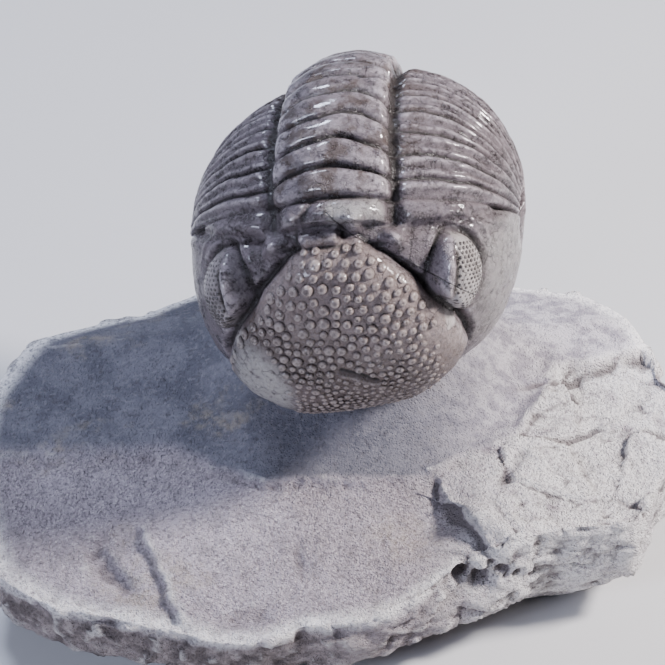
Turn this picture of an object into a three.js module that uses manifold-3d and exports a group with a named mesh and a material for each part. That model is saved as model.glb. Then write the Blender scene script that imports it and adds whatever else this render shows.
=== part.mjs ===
// An enrolled trilobite standing free on the block of limestone that it was prepared out of.
// Millimetres, +Z up. The origin is on the flat sawn base of the stone, under the middle of the whole piece.
// The animal is a ball, so both it and its ridges are one radius over a sphere whose poles are its two flanks:
// `turn` is the angle round the body, from the front of the head (0) over the back (90) to the tail (180),
// and `side` is the angle from the midline (0) out to the flanks (-90 and 90). Angles are in degrees.

import * as THREE from "three";
import { mergeVertices } from "three/addons/utils/BufferGeometryUtils.js";
import Module from "manifold-3d";

const DEGREE = Math.PI / 180;

// Where the animal is in the piece, and how it lies.
const BODY_CENTRE = new THREE.Vector3(3, 6.2, 52);
const BODY_ROLL = -9.3;
const BODY_YAW = -5;

// The body without its lobes: half the width, and the height of the pleurae over the centre.
const HALF_WIDTH = 24.9;
const PLEURA_HEIGHT = 23.8;

// The thorax: eleven segments between the back of the head and the front of the tail shield.
const THORAX_START = 50;
const SEGMENT_COUNT = 11;
const SEGMENT_TURN = 10;
const THORAX_END = THORAX_START + SEGMENT_COUNT * SEGMENT_TURN;
const TAIL_END = 207;
const TAIL_RINGS = 8;

// The raised axial lobe along the midline.
const AXIS_HALF_WIDTH = 8.9;
const AXIS_RISE = 2.9;

// What is left over the bare ball in the middle of each flank, inside the ends of the pleurae.
const FLANK_RELIEF = -0.9;

// The head is drawn on a plan laid on the ball, seen from HEAD_TURN, with x to the animal's flank and y back.
const HEAD_TURN = 8;
const PLAN_RADIUS = 25;
const GLABELLA_RISE = 3.6;
const GLABELLA_LEAN = -0.5;

// A kidney-shaped eye: its middle and bearing on the plan, how much longer than wide it is, and its profile.
const EYE_CENTRE = [15.9, 2.9];
const EYE_BEARING = 14;
const EYE_LENGTH = 1.15;
const EYE_TOP = 0.6;
const EYE_FOOT = 6.7;
const EYE_RISE = 3.2;

// How far the ball is pushed out of true toward one flank, by turn: the fossil was squeezed in its stone.
const SKEW = [
  [-62, -1.5],
  [-30, -1.4],
  [10, -0.5],
  [45, 0.3],
  [120, 1.6],
  [200, 0.8],
  [298, -1.5],
];

// Half the width of the glabella at places along its plan.
const GLABELLA_PLAN = [
  [13.2, 3.5],
  [9.5, 7.8],
  [4.7, 11.9],
  [2, 13.3],
  [-1, 15.5],
  [-4.2, 17.5],
  [-7, 18.8],
  [-11, 19.8],
  [-14, 18.6],
  [-17, 15.8],
  [-21, 10.8],
  [-23.3, 6],
  [-24.5, 0],
];

// Tubercles on the glabella: how far apart and how big, at its back and at its front edge.
const TUBERCLE_SPACING = 3.5;
const TUBERCLE_RADIUS = 1.2;
const TUBERCLE_HEIGHT = 0.6;

// The stone: places on its upper rim, seen from above, and the levels of its parts.
const STONE_RIM = [
  [49.2, 7.5],
  [39, 27],
  [27, 30.5],
  [15, 38.5],
  [3, 42.2],
  [-9, 39.5],
  [-22, 29.5],
  [-31, 23.5],
  [-47, 17],
  [-54.5, 4],
  [-55, -14],
  [-51, -28.8],
  [-42.7, -34.8],
  [-33.9, -37.4],
  [-25.5, -39.3],
  [-13.5, -42.2],
  [-5.3, -39.4],
  [8, -37.2],
  [17.7, -30.2],
  [33.6, -25.2],
  [44.4, -23.2],
  [48.7, -12.7],
  [54.6, 0],
];
const BASE_SCALE = 0.74;
const CONTACT_LEVEL = 31.6;
const HOLLOW_GAP = 0.55;

// Goes smoothly from 0 at `start` to 1 at `end`, whichever of the two is the larger.
function smoothstep(start, end, value) {
  const share = THREE.MathUtils.clamp((value - start) / (end - start), 0, 1);
  return share * share * (3 - 2 * share);
}

function bell(distance, width) {
  return Math.exp(-((distance / width) ** 2));
}

// A value read off a short list of [place, value] pairs, with straight lines between them.
function along(table, place) {
  const up = table[0][0] < table[table.length - 1][0];
  const rows = up ? table : [...table].reverse();
  if (place <= rows[0][0]) return rows[0][1];
  for (let row = 1; row < rows.length; row += 1) {
    const [near, nearValue] = rows[row - 1];
    const [far, farValue] = rows[row];
    if (place <= far) return THREE.MathUtils.mapLinear(place, near, far, nearValue, farValue);
  }
  return rows[rows.length - 1][1];
}

// The unit direction of a place on the body.
function direction(turn, side) {
  const t = turn * DEGREE;
  const s = side * DEGREE;
  return new THREE.Vector3(Math.sin(s), -Math.cos(s) * Math.cos(t), Math.cos(s) * Math.sin(t));
}

// The body's bare ball: boxy over the head and front of the thorax, slimmer toward the tail.
function bareRadius(turn, side) {
  const power = 2.42 - 0.55 * smoothstep(90, 200, turn);
  const height = PLEURA_HEIGHT - 1.2 * smoothstep(200, 235, turn) - 1.2 * smoothstep(-55, -80, turn);
  const across = Math.abs(Math.sin(side * DEGREE)) / HALF_WIDTH;
  const up = Math.abs(Math.cos(side * DEGREE)) / height;
  const roundBall = (across ** power + up ** power) ** (-1 / power);
  return roundBall + along(SKEW, turn) * Math.sin(2 * side * DEGREE);
}

function axisHalfWidth(turn) {
  return along([[60, AXIS_HALF_WIDTH], [150, 7.4], [198, 2.6], [TAIL_END, 1.5]], turn);
}

// A ring of the axial lobe: rounded, and nicked where it meets the next.
function ringRelief(part) {
  return 0.62 * (1 - Math.abs(2 * part - 1) ** 2.6) - 0.75 * bell(Math.min(part, 1 - part), 0.08);
}

// The low front band and high rear band of a pleural rib.
function ribRelief(part) {
  const bands = 0.42 * bell(part - 0.22, 0.13) + 0.62 * bell(part - 0.7, 0.19);
  return bands - 0.5 * bell(Math.min(part, 1 - part), 0.075) - 0.25;
}

// The thorax and tail shield, over the bare ball.
function trunkRelief(turn, side, across) {
  const halfWidth = axisHalfWidth(turn);
  const over = across / halfWidth;
  const tail = smoothstep(THORAX_END - 2, THORAX_END + 4, turn);
  const rise = AXIS_RISE * (1 - 0.55 * tail * smoothstep(165, 205, turn));
  const step = turn < THORAX_END ? SEGMENT_TURN : (TAIL_END - 7 - THORAX_END) / TAIL_RINGS;
  const bow = 3.2 * Math.min(over, 1) ** 2 - 1.6 * smoothstep(1, 2, over);
  const count = (turn + bow * (1 - tail) - THORAX_START) / step;
  const part = count - Math.floor(count);
  const size = step / SEGMENT_TURN;
  let relief = -0.9 * bell(across - halfWidth - 0.4, 0.95) * (1 - 0.5 * tail);
  const rings = smoothstep(TAIL_END, TAIL_END - 8, turn);
  if (over < 1) {
    const knob = 0.45 * bell(over - 0.84, 0.13);
    relief += rise * (1 - over ** 2) ** 0.7;
    relief += rings * size * (ringRelief(part) + knob * Math.sin(Math.PI * part)) * (1 - 0.4 * over ** 4);
  } else {
    const tip = smoothstep(52, 66, side);
    const plates = 0.85 * Math.sin(Math.PI * part) ** 0.7 - 0.5 + 0.3 * (part - 0.5);
    const plateEnd = 78 - 5 * Math.abs(2 * part - 1) ** 2.5;
    relief += rings * size * smoothstep(1, 1.25, over) * THREE.MathUtils.lerp(ribRelief(part), plates, tip);
    relief -= 1.1 * smoothstep(plateEnd - 1, plateEnd + 2.5, side) * (1 - tail);
  }
  return relief * smoothstep(TAIL_END + 7, TAIL_END, turn);
}

// The plan of the head, in millimetres: across toward a flank, and back from the middle of the glabella.
function headPlan(turn, side) {
  const place = direction(turn, side);
  const back = new THREE.Vector3(0, Math.sin(HEAD_TURN * DEGREE), Math.cos(HEAD_TURN * DEGREE));
  const arc = place.angleTo(direction(HEAD_TURN, 0));
  const stretch = (PLAN_RADIUS * arc) / Math.max(Math.sin(arc), 1e-6);
  return [stretch * place.x, stretch * place.dot(back)];
}

// How far a place on the plan is inside the outline of the glabella, which leans to the left at its front.
function glabellaInset(x, y) {
  const middle = GLABELLA_LEAN * smoothstep(5, -12, y);
  return Math.min(along(GLABELLA_PLAN, y) - Math.abs(x - middle), 0.9 * (y + 24.5), 1.1 * (12.6 - y) + 0.4);
}

// The eye's raised lid along its inner edge, the dome that carries the lenses, and the furrow round its foot.
function eyeRelief(x, y) {
  const bearing = EYE_BEARING * DEGREE;
  const fromX = x - EYE_CENTRE[0];
  const fromY = y - EYE_CENTRE[1];
  const back = fromX * Math.sin(bearing) + fromY * Math.cos(bearing);
  const outward = fromX * Math.cos(bearing) - fromY * Math.sin(bearing);
  const reach = Math.hypot(back / EYE_LENGTH, outward > 0 ? outward : 2.4 * outward);
  const share = THREE.MathUtils.clamp((reach - EYE_TOP) / (EYE_FOOT - EYE_TOP), 0, 1);
  const lidLength = smoothstep(6.4, 3.6, Math.abs(back));
  const lid = (0.75 * bell(outward + 0.9, 0.75) - 0.4 * bell(outward - 0.35, 0.35)) * lidLength;
  const foot = -0.8 * bell(reach - EYE_FOOT - 0.4, 0.75) * smoothstep(-3.5, -1.5, outward);
  return EYE_RISE * (1 - share ** 2.8) + lid + foot;
}

// The occipital ring, the furrow in front of it, and the beaded band with a node at either end before that.
function occipitalRelief(x, y, across) {
  const over = Math.min(Math.abs(x) / AXIS_HALF_WIDTH, 1);
  const bowed = y + 0.016 * x * x;
  let relief = smoothstep(12.6, 14.4, bowed) * AXIS_RISE * (1 - over ** 2) ** 0.7;
  relief += 0.75 * bell(bowed - 16.1, 1.5) * (1 - over ** 4);
  relief -= 1.3 * bell(bowed - 13.8, 0.55) * (1 - 0.5 * bell(x, 3.2)) * smoothstep(10, 7, across);
  relief += 1.5 * bell(bowed - 12.4, 0.95) * smoothstep(6, 4.2, Math.abs(x));
  relief += 2.6 * bell(Math.abs(x) - 6.8, 1.35) * bell(bowed - 12.6, 1.1);
  return relief;
}

// The head, over the bare ball.
function headRelief(turn, signedSide, across) {
  const [x, y] = headPlan(turn, signedSide);
  const inset = glabellaInset(x, y);
  let relief = GLABELLA_RISE * (1 - Math.exp(-Math.max(inset, 0) / 2.6)) * smoothstep(-78, -52, turn);
  relief -= 1.3 * bell(inset + 0.6, 0.8) * smoothstep(-22, -12, y) * smoothstep(11.5, 7, y);
  relief += eyeRelief(Math.abs(x), y) * smoothstep(-0.6, 1.6, -inset);
  const cheek = smoothstep(9.5, 12, across) * smoothstep(80, 62, Math.abs(signedSide));
  relief -= 1.2 * bell(y - 12.9 + 0.004 * x * x, 1.1) * cheek;
  relief += 0.6 * bell(y - 15.9 + 0.01 * x * x, 1.4) * cheek;
  if (across < 11) relief += occipitalRelief(x, y, across);
  return relief - bell(across - AXIS_HALF_WIDTH - 0.4, 1) * smoothstep(11.5, 14, y);
}

function bodyRadius(turn, signedSide) {
  const side = Math.abs(signedSide);
  const bare = bareRadius(turn, signedSide);
  const across = bare * Math.sin(side * DEGREE);
  const trunk = smoothstep(THORAX_START - 0.8, THORAX_START + 0.8, turn);
  let relief = -0.5 * bell(turn - THORAX_START, 1.3) * smoothstep(85, 70, side);
  if (trunk > 0) relief += trunk * trunkRelief(turn, side, across);
  if (trunk < 1) relief += (1 - trunk) * headRelief(turn, signedSide, across);
  return bare + THREE.MathUtils.lerp(relief, FLANK_RELIEF, smoothstep(80, 87, side));
}

// Rows round the body: close together where the relief is, far apart on the hidden underside.
function bodyRows() {
  const rows = [];
  for (let turn = -60; turn < THORAX_START - 12; turn += 4.5) rows.push(turn);
  for (const turn of [39.5, 42.5, 45.5, 49.2]) rows.push(turn);
  for (let segment = 0; segment < SEGMENT_COUNT; segment += 1) {
    for (const part of [0.08, 0.3, 0.55, 0.86]) rows.push(THORAX_START + (segment + part) * SEGMENT_TURN);
  }
  for (let turn = THORAX_END + 2.5; turn < TAIL_END; turn += 5) rows.push(turn);
  for (let turn = 218; turn < 300; turn += 20) rows.push(turn);
  return rows;
}

const COLUMNS = [8, 14, 18, 21, 24.5, 30, 37, 44, 51, 58, 65, 72, 77, 82];

function bodyGeometry(grow) {
  const rows = bodyRows();
  const sides = [...COLUMNS.map((side) => -side).reverse(), 0, ...COLUMNS];
  const points = [-HALF_WIDTH - grow, 0, 0];
  for (const side of sides) {
    for (const turn of rows) {
      const place = direction(turn, side).multiplyScalar(bodyRadius(turn, side) + grow);
      points.push(place.x, place.y, place.z);
    }
  }
  points.push(HALF_WIDTH + grow, 0, 0);
  const last = points.length / 3 - 1;
  const faces = [];
  for (let row = 0; row < rows.length; row += 1) {
    const next = (row + 1) % rows.length;
    faces.push(0, 1 + row, 1 + next);
    for (let column = 0; column < sides.length - 1; column += 1) {
      const here = 1 + column * rows.length;
      const beyond = here + rows.length;
      faces.push(here + row, beyond + next, here + next);
      faces.push(here + row, beyond + row, beyond + next);
    }
    faces.push(last, last - rows.length + next, last - rows.length + row);
  }
  const geometry = new THREE.BufferGeometry();
  geometry.setAttribute("position", new THREE.Float32BufferAttribute(points, 3));
  geometry.setIndex(faces);
  return geometry;
}

function bodyPlacement() {
  const turn = new THREE.Euler(0, BODY_ROLL * DEGREE, BODY_YAW * DEGREE, "ZYX");
  const facing = new THREE.Quaternion().setFromEuler(turn);
  return new THREE.Matrix4().compose(BODY_CENTRE, facing, new THREE.Vector3(1, 1, 1));
}

// The tubercles of the glabella, in offset rows that close up toward its front edge.
function tuberclePlaces() {
  const places = [];
  let y = 9.6;
  let row = 0;
  while (y > -20.5) {
    const spacing = TUBERCLE_SPACING * THREE.MathUtils.mapLinear(y, 10, -20, 1.12, 0.78);
    const half = Math.floor(along(GLABELLA_PLAN, y) / spacing) + 1;
    for (let step = -half; step <= half; step += 1) {
      const x = (step + (row % 2) / 2) * spacing + 0.35 * Math.sin(7.1 * row + 3.3 * step);
      const worn = y < -4 && (x < -6 - 0.35 * (y + 15) || x > 13);
      if (glabellaInset(x, y) > 1.5 && !worn) places.push([x, y + 0.3 * Math.sin(5.7 * step + row), spacing]);
    }
    y -= spacing * 0.95;
    row += 1;
  }
  return places;
}

// The place on the body that a point of the head's plan falls on.
function placeFromPlan(x, y) {
  const arc = Math.hypot(x, y) / PLAN_RADIUS;
  const bearing = Math.atan2(y, x);
  const back = new THREE.Vector3(0, Math.sin(HEAD_TURN * DEGREE), Math.cos(HEAD_TURN * DEGREE));
  const place = direction(HEAD_TURN, 0).multiplyScalar(Math.cos(arc));
  place.addScaledVector(back, Math.sin(arc) * Math.sin(bearing));
  place.x += Math.sin(arc) * Math.cos(bearing);
  const side = Math.asin(place.x) / DEGREE;
  const turn = Math.atan2(place.z, -place.y) / DEGREE;
  return [place.normalize(), bodyRadius(turn, side)];
}

function tubercleGeometry(x, y, spacing) {
  const [place, radius] = placeFromPlan(x, y);
  const size = spacing / TUBERCLE_SPACING;
  const foot = TUBERCLE_RADIUS * size;
  const height = TUBERCLE_HEIGHT * size + 0.6;
  const geometry = new THREE.CylinderGeometry(foot * 0.5, foot, height, 5);
  geometry.rotateX(Math.PI / 2);
  geometry.translate(0, 0, radius + height / 2 - 0.6);
  const facing = new THREE.Quaternion().setFromUnitVectors(new THREE.Vector3(0, 0, 1), place);
  return geometry.applyQuaternion(facing);
}

// The stone's upper surface, as a height over its base, at a place in the frame of the whole piece.
function stoneTop(x, y) {
  const fromX = x - BODY_CENTRE.x;
  const fromY = y - BODY_CENTRE.y;
  const leftFall = 0.13 * Math.max(0, -fromX - 20);
  const rightFall = 0.08 * Math.max(0, fromX - 20);
  const shelf = 25.4 + 0.11 * fromY - leftFall - rightFall;
  const backSlope = 26.4 - 0.32 * (fromY - 8) - leftFall;
  const frontLeft = 21.2 + 0.256 * (fromY + 15.3) + 0.114 * (fromX + 37);
  const ledge = 2.2 * smoothstep(-1, 2.5, fromX - 9.6 + fromY + 23);
  const frontMiddle = 23 + 0.388 * (fromY + 23) + 0.03 * fromX + ledge;
  const level = Math.min(shelf, backSlope, frontLeft, frontMiddle);
  const reach = Math.hypot(fromX / 1.06, fromY - 1.5) - 15.5;
  const flank = CONTACT_LEVEL - level;
  const boss = reach < 0 ? flank + 0.05 * reach * reach : flank * Math.exp(-((reach / 5.2) ** 1.4));
  const moat = 1.1 * bell(reach - 8, 3.4) * smoothstep(6, -10, fromY);
  return level + Math.max(boss, 0) - moat;
}

// How far the rim stands out from the middle of the stone in one direction.
function rimReach(angle) {
  const table = STONE_RIM.map(([x, y]) => [Math.atan2(y, x), Math.hypot(x, y)]);
  table.sort((near, far) => near[0] - far[0]);
  const first = table[0];
  const last = table[table.length - 1];
  return along([[last[0] - 2 * Math.PI, last[1]], ...table, [first[0] + 2 * Math.PI, first[1]]], angle);
}

const STONE_SPOKES = 56;
const TOP_RINGS = [0.16, 0.27, 0.36, 0.44, 0.52, 0.6, 0.68, 0.76, 0.85, 0.93, 1];

// Below the rim: how far out, as a share of the rim's reach, and how high, as a share of the rim's height.
function sideProfile(angle) {
  const chip = 0.02 * Math.sin(5 * angle + 1) + 0.015 * Math.sin(11 * angle);
  return [
    [1.005 + chip * 0.5, 0.72],
    [0.985 + chip, 0.42],
    [0.93 + chip, 0.27],
    [BASE_SCALE + 0.05 + chip, 0.06],
  ];
}

function stoneGeometry() {
  const points = [0, 0, stoneTop(0, 0)];
  const ringCount = TOP_RINGS.length + 5;
  for (let spoke = 0; spoke < STONE_SPOKES; spoke += 1) {
    const angle = ((spoke + 0.5) / STONE_SPOKES) * 2 * Math.PI - Math.PI;
    const reach = rimReach(angle);
    const ring = (share, height) => {
      points.push(Math.cos(angle) * reach * share, Math.sin(angle) * reach * share, height);
    };
    for (const share of TOP_RINGS) {
      ring(share, stoneTop(Math.cos(angle) * reach * share, Math.sin(angle) * reach * share));
    }
    const rim = points[points.length - 1];
    for (const [share, level] of sideProfile(angle)) ring(share, rim * level);
    ring(BASE_SCALE, 0);
  }
  points.push(0, 0, 0);
  const last = points.length / 3 - 1;
  const faces = [];
  for (let spoke = 0; spoke < STONE_SPOKES; spoke += 1) {
    const here = 1 + spoke * ringCount;
    const next = 1 + ((spoke + 1) % STONE_SPOKES) * ringCount;
    faces.push(0, here, next);
    for (let ring = 0; ring < ringCount - 1; ring += 1) {
      faces.push(here + ring, here + ring + 1, next + ring + 1);
      faces.push(here + ring, next + ring + 1, next + ring);
    }
    faces.push(last, next + ringCount - 1, here + ringCount - 1);
  }
  const geometry = new THREE.BufferGeometry();
  geometry.setAttribute("position", new THREE.Float32BufferAttribute(points, 3));
  geometry.setIndex(faces);
  return geometry;
}

const wasm = await Module();
wasm.setup();

function solid(geometry) {
  geometry.deleteAttribute("normal");
  geometry.deleteAttribute("uv");
  const welded = mergeVertices(geometry, 1e-4);
  return new wasm.Manifold(
    new wasm.Mesh({
      numProp: 3,
      vertProperties: new Float32Array(welded.attributes.position.array),
      triVerts: new Uint32Array(welded.index.array),
    }),
  );
}

function geometryOf(manifold) {
  const mesh = manifold.getMesh();
  const geometry = new THREE.BufferGeometry();
  geometry.setAttribute("position", new THREE.Float32BufferAttribute(mesh.vertProperties, 3));
  geometry.setIndex([...mesh.triVerts]);
  geometry.computeVertexNormals();
  return geometry;
}

function trilobite() {
  let body = solid(bodyGeometry(0));
  for (const [x, y, spacing] of tuberclePlaces()) body = body.add(solid(tubercleGeometry(x, y, spacing)));
  const geometry = geometryOf(body).applyMatrix4(bodyPlacement());
  const material = new THREE.MeshStandardMaterial({ color: 0x4b4440, roughness: 0.42, metalness: 0 });
  const mesh = new THREE.Mesh(geometry, material);
  mesh.name = "trilobite";
  return mesh;
}

function matrixStone() {
  const hollow = solid(bodyGeometry(HOLLOW_GAP).applyMatrix4(bodyPlacement()));
  const geometry = geometryOf(solid(stoneGeometry()).subtract(hollow));
  const material = new THREE.MeshStandardMaterial({ color: 0x8e8a90, roughness: 0.85, metalness: 0 });
  const mesh = new THREE.Mesh(geometry, material);
  mesh.name = "matrix_stone";
  return mesh;
}

const specimen = new THREE.Group();
specimen.name = "trilobite_fossil";
specimen.add(matrixStone(), trilobite());

export default specimen;
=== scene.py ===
# %% [markdown]
# # A rolled-up trilobite on its limestone
# The real thing is a trilobite that curled into a ball, turned to stone, and was picked free with an air
# scribe until it stood on a stump of its limestone. A sculptor could carve the ball by hand. Here every
# ridge is a formula over a sphere instead, so that the eleven segments, the pimples and the eye lenses
# all follow one surface and can be tuned by name.

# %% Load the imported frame
import math

import bmesh
import bpy
import numpy as np
from mathutils import Euler, Matrix, Vector, kdtree, noise


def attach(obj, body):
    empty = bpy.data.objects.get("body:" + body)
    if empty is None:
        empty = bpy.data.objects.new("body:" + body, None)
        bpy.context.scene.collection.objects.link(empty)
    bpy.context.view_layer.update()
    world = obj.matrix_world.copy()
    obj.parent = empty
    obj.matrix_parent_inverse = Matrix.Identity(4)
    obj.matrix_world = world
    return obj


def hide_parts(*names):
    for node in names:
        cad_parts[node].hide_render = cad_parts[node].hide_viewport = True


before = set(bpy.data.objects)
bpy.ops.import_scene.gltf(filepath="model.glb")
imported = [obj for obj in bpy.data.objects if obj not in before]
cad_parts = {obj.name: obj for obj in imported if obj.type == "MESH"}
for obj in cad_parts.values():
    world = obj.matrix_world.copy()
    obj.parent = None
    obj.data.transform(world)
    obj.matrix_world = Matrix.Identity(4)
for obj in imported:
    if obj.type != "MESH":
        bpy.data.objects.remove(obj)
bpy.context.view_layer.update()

MM = 0.001

# %% [markdown]
# ## Small helpers for shapes
# Most relief here is built from two curves: a smooth step between two levels, and a bell for a rounded
# ridge or groove. A lookup along a short list stands in for a hand-drawn profile.

# %% Curves that shape the relief
def smoothstep(start, end, value):
    share = np.clip((value - start) / (end - start), 0, 1)
    return share * share * (3 - 2 * share)


def bell(distance, width):
    return np.exp(-((distance / width) ** 2))


def along(table, place):
    rows = sorted(table)
    return np.interp(place, [row[0] for row in rows], [row[1] for row in rows])


def blend(low, high, share):
    return low + (high - low) * share


# %% [markdown]
# ## The trilobite's ball
# An enrolled trilobite is close to a ball whose poles are its two flanks. `turn` is the angle round the
# body in degrees, from the front of the head (0) over the back (90) to the tail (180), and `side` is the
# angle out from the midline to a flank (90). The bare ball is a little boxy, like the real cross-section.

# %% The ball and its lie on the stone
BODY_CENTRE = Vector((3, 6.2, 52))
BODY_ROLL = -9.3
BODY_YAW = -5
HALF_WIDTH = 24.9
PLEURA_HEIGHT = 23.8
THORAX_START = 50
SEGMENT_COUNT = 11
SEGMENT_TURN = 10
THORAX_END = THORAX_START + SEGMENT_COUNT * SEGMENT_TURN
TAIL_END = 207
TAIL_RINGS = 8
AXIS_HALF_WIDTH = 8.9
AXIS_RISE = 2.9
FLANK_RELIEF = -0.9


def direction(turn, side):
    t, s = np.radians(turn), np.radians(side)
    return np.stack([np.sin(s), -np.cos(s) * np.cos(t), np.cos(s) * np.sin(t)], axis=-1)


SKEW = [(-62, -1.5), (-30, -1.4), (10, -0.5), (45, 0.3), (120, 1.6), (200, 0.8), (298, -1.5)]


def bare_radius(turn, signed_side):
    power = 2.42 - 0.55 * smoothstep(90, 200, turn)
    height = PLEURA_HEIGHT - 1.2 * smoothstep(200, 235, turn) - 1.2 * smoothstep(-55, -80, turn)
    across = np.abs(np.sin(np.radians(signed_side))) / HALF_WIDTH
    up = np.abs(np.cos(np.radians(signed_side))) / height
    round_ball = (across ** power + up ** power) ** (-1 / power)
    return round_ball + along(SKEW, turn) * np.sin(np.radians(2 * signed_side))


# %% [markdown]
# ## Thorax and tail
# Each of the eleven segments is a raised ring on the axial lobe with a pair of ribs on either side. A rib
# pair turns into one overlapping plate where the flank bends down, and the plates end in rounded tips.
# The tail shield repeats the pattern in smaller, fused steps.

# %% Relief of the thorax and tail
def axis_half_width(turn):
    return along([(60, AXIS_HALF_WIDTH), (150, 7.4), (198, 2.6), (TAIL_END, 1.5)], turn)


def segment_part(turn, over, tail):
    step = np.where(turn < THORAX_END, SEGMENT_TURN, (TAIL_END - 7 - THORAX_END) / TAIL_RINGS)
    bow = 3.2 * np.minimum(over, 1) ** 2 - 1.6 * smoothstep(1, 2, over)
    count = (turn + bow * (1 - tail) - THORAX_START) / step
    return count - np.floor(count), step / SEGMENT_TURN


def ring_relief(part):
    return 0.62 * (1 - np.abs(2 * part - 1) ** 2.6) - 0.75 * bell(np.minimum(part, 1 - part), 0.08)


def rib_relief(part):
    front_band = 0.42 * bell(part - 0.22, 0.13)
    rear_band = 0.62 * bell(part - 0.7, 0.19)
    return front_band + rear_band - 0.5 * bell(np.minimum(part, 1 - part), 0.075) - 0.25


def trunk_relief(turn, side, across):
    over = across / axis_half_width(turn)
    tail = smoothstep(THORAX_END - 2, THORAX_END + 4, turn)
    rise = AXIS_RISE * (1 - 0.55 * tail * smoothstep(165, 205, turn))
    part, size = segment_part(turn, over, tail)
    fade = smoothstep(TAIL_END, TAIL_END - 8, turn) * size
    furrow = -0.9 * bell(across - axis_half_width(turn) - 0.4, 0.95) * (1 - 0.5 * tail)
    inner = np.minimum(over, 1)
    knob = 0.45 * bell(over - 0.84, 0.13) * np.sin(np.pi * part)
    axis = rise * (1 - inner ** 2) ** 0.7 + fade * (ring_relief(part) + knob) * (1 - 0.4 * inner ** 4)
    tip = smoothstep(52, 66, side)
    plates = 0.85 * np.sin(np.pi * part) ** 0.7 - 0.5 + 0.3 * (part - 0.5)
    plate_end = 78 - 5 * np.abs(2 * part - 1) ** 2.5
    pleura = fade * smoothstep(1, 1.25, over) * blend(rib_relief(part), plates, tip)
    pleura = pleura - 1.1 * smoothstep(plate_end - 1, plate_end + 2.5, side) * (1 - tail)
    relief = furrow + np.where(over < 1, axis, pleura)
    return relief * smoothstep(TAIL_END + 7, TAIL_END, turn)


# %% [markdown]
# ## Head
# The head is easier to draw on a plan: x toward a flank and y toward the back, in millimetres, laid on the
# ball like a sticker. The glabella is the swollen, pimpled lobe. Behind it come a narrow band with two
# side nodes and the occipital ring, and beside it stand the two kidney-shaped eyes. This specimen's band is
# uneven: a bean left of the middle, and a knob tucked against the ring on its right.

# %% Relief of the head
HEAD_TURN = 8
PLAN_RADIUS = 25
GLABELLA_RISE = 3.6
GLABELLA_LEAN = -0.5
EYE_CENTRE = (15.9, 2.9)
EYE_BEARING = 14
EYE_LENGTH = 1.15
EYE_TOP = 0.6
EYE_FOOT = 6.7
EYE_RISE = 3.2
GLABELLA_PLAN = [
    (13.2, 3.5), (9.5, 7.8), (4.7, 11.9), (2, 13.3), (-1, 15.5), (-4.2, 17.5), (-7, 18.8),
    (-11, 19.8), (-14, 18.6), (-17, 15.8), (-21, 10.8), (-23.3, 6), (-24.5, 0),
]
HEAD_BACK = direction(HEAD_TURN + 90, 0)


def head_plan(turn, side):
    place = direction(turn, side)
    arc = np.arccos(np.clip(place @ direction(HEAD_TURN, 0), -1, 1))
    stretch = PLAN_RADIUS * arc / np.maximum(np.sin(arc), 1e-6)
    return stretch * place[..., 0], stretch * (place @ HEAD_BACK)


def glabella_inset(x, y):
    half_width = along(GLABELLA_PLAN, y)
    middle = GLABELLA_LEAN * smoothstep(5, -12, y)
    return np.minimum(np.minimum(half_width - np.abs(x - middle), 0.9 * (y + 24.5)), 1.1 * (12.6 - y) + 0.4)


def eye_place(x, y):
    bearing = math.radians(EYE_BEARING)
    from_x, from_y = x - EYE_CENTRE[0], y - EYE_CENTRE[1]
    back = from_x * math.sin(bearing) + from_y * math.cos(bearing)
    outward = from_x * math.cos(bearing) - from_y * math.sin(bearing)
    return back, outward


def eye_reach(x, y):
    back, outward = eye_place(x, y)
    return np.hypot(back / EYE_LENGTH, np.where(outward > 0, outward, 2.4 * outward))


def eye_relief(x, y):
    back, outward = eye_place(x, y)
    reach = eye_reach(x, y)
    dome = EYE_RISE * (1 - np.clip((reach - EYE_TOP) / (EYE_FOOT - EYE_TOP), 0, 1) ** 2.8)
    lid_length = smoothstep(6.4, 3.6, np.abs(back))
    lid = (0.75 * bell(outward + 0.9, 0.75) - 0.4 * bell(outward - 0.35, 0.35)) * lid_length
    foot = -0.8 * bell(reach - EYE_FOOT - 0.4, 0.75) * smoothstep(-3.5, -1.5, outward)
    wrinkles = (0.35 * bell(reach - 7.8, 0.45) + 0.25 * bell(reach - 9.1, 0.4)) * smoothstep(3, 6, back)
    return dome + lid + foot + wrinkles


def occipital_relief(x, y, across):
    over = np.minimum(np.abs(x) / AXIS_HALF_WIDTH, 1)
    bow = 0.016 * x * x
    rear = smoothstep(13.9, 15.3, y + bow) * AXIS_RISE * (1 - over ** 2) ** 0.7
    rear += 0.75 * bell(y - 16.5 + bow, 1.4) * (1 - over ** 4)
    furrow = 0.8 * bell(y - 14.7 + bow, 0.42) * smoothstep(10, 7, across)
    bean = smoothstep(-6.0, -4.6, x) * smoothstep(1.8, 0.4, x)
    band = 2.3 * bean * bell(y - 13.2 + bow, 1.25)
    knob = 2.4 * bell(x - 3.4, 1.5) * bell(y - 14.5 + bow, 1.15)
    nodes = 1.8 * bell(np.abs(x) - 9.4, 1.5) * bell(y - 12.9 + bow, 1.3)
    split = 0.5 * bell(y - 11.5 + 0.5 * bow, 0.4) * smoothstep(9, 7, across)
    return rear - furrow + band + knob + nodes - split


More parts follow.
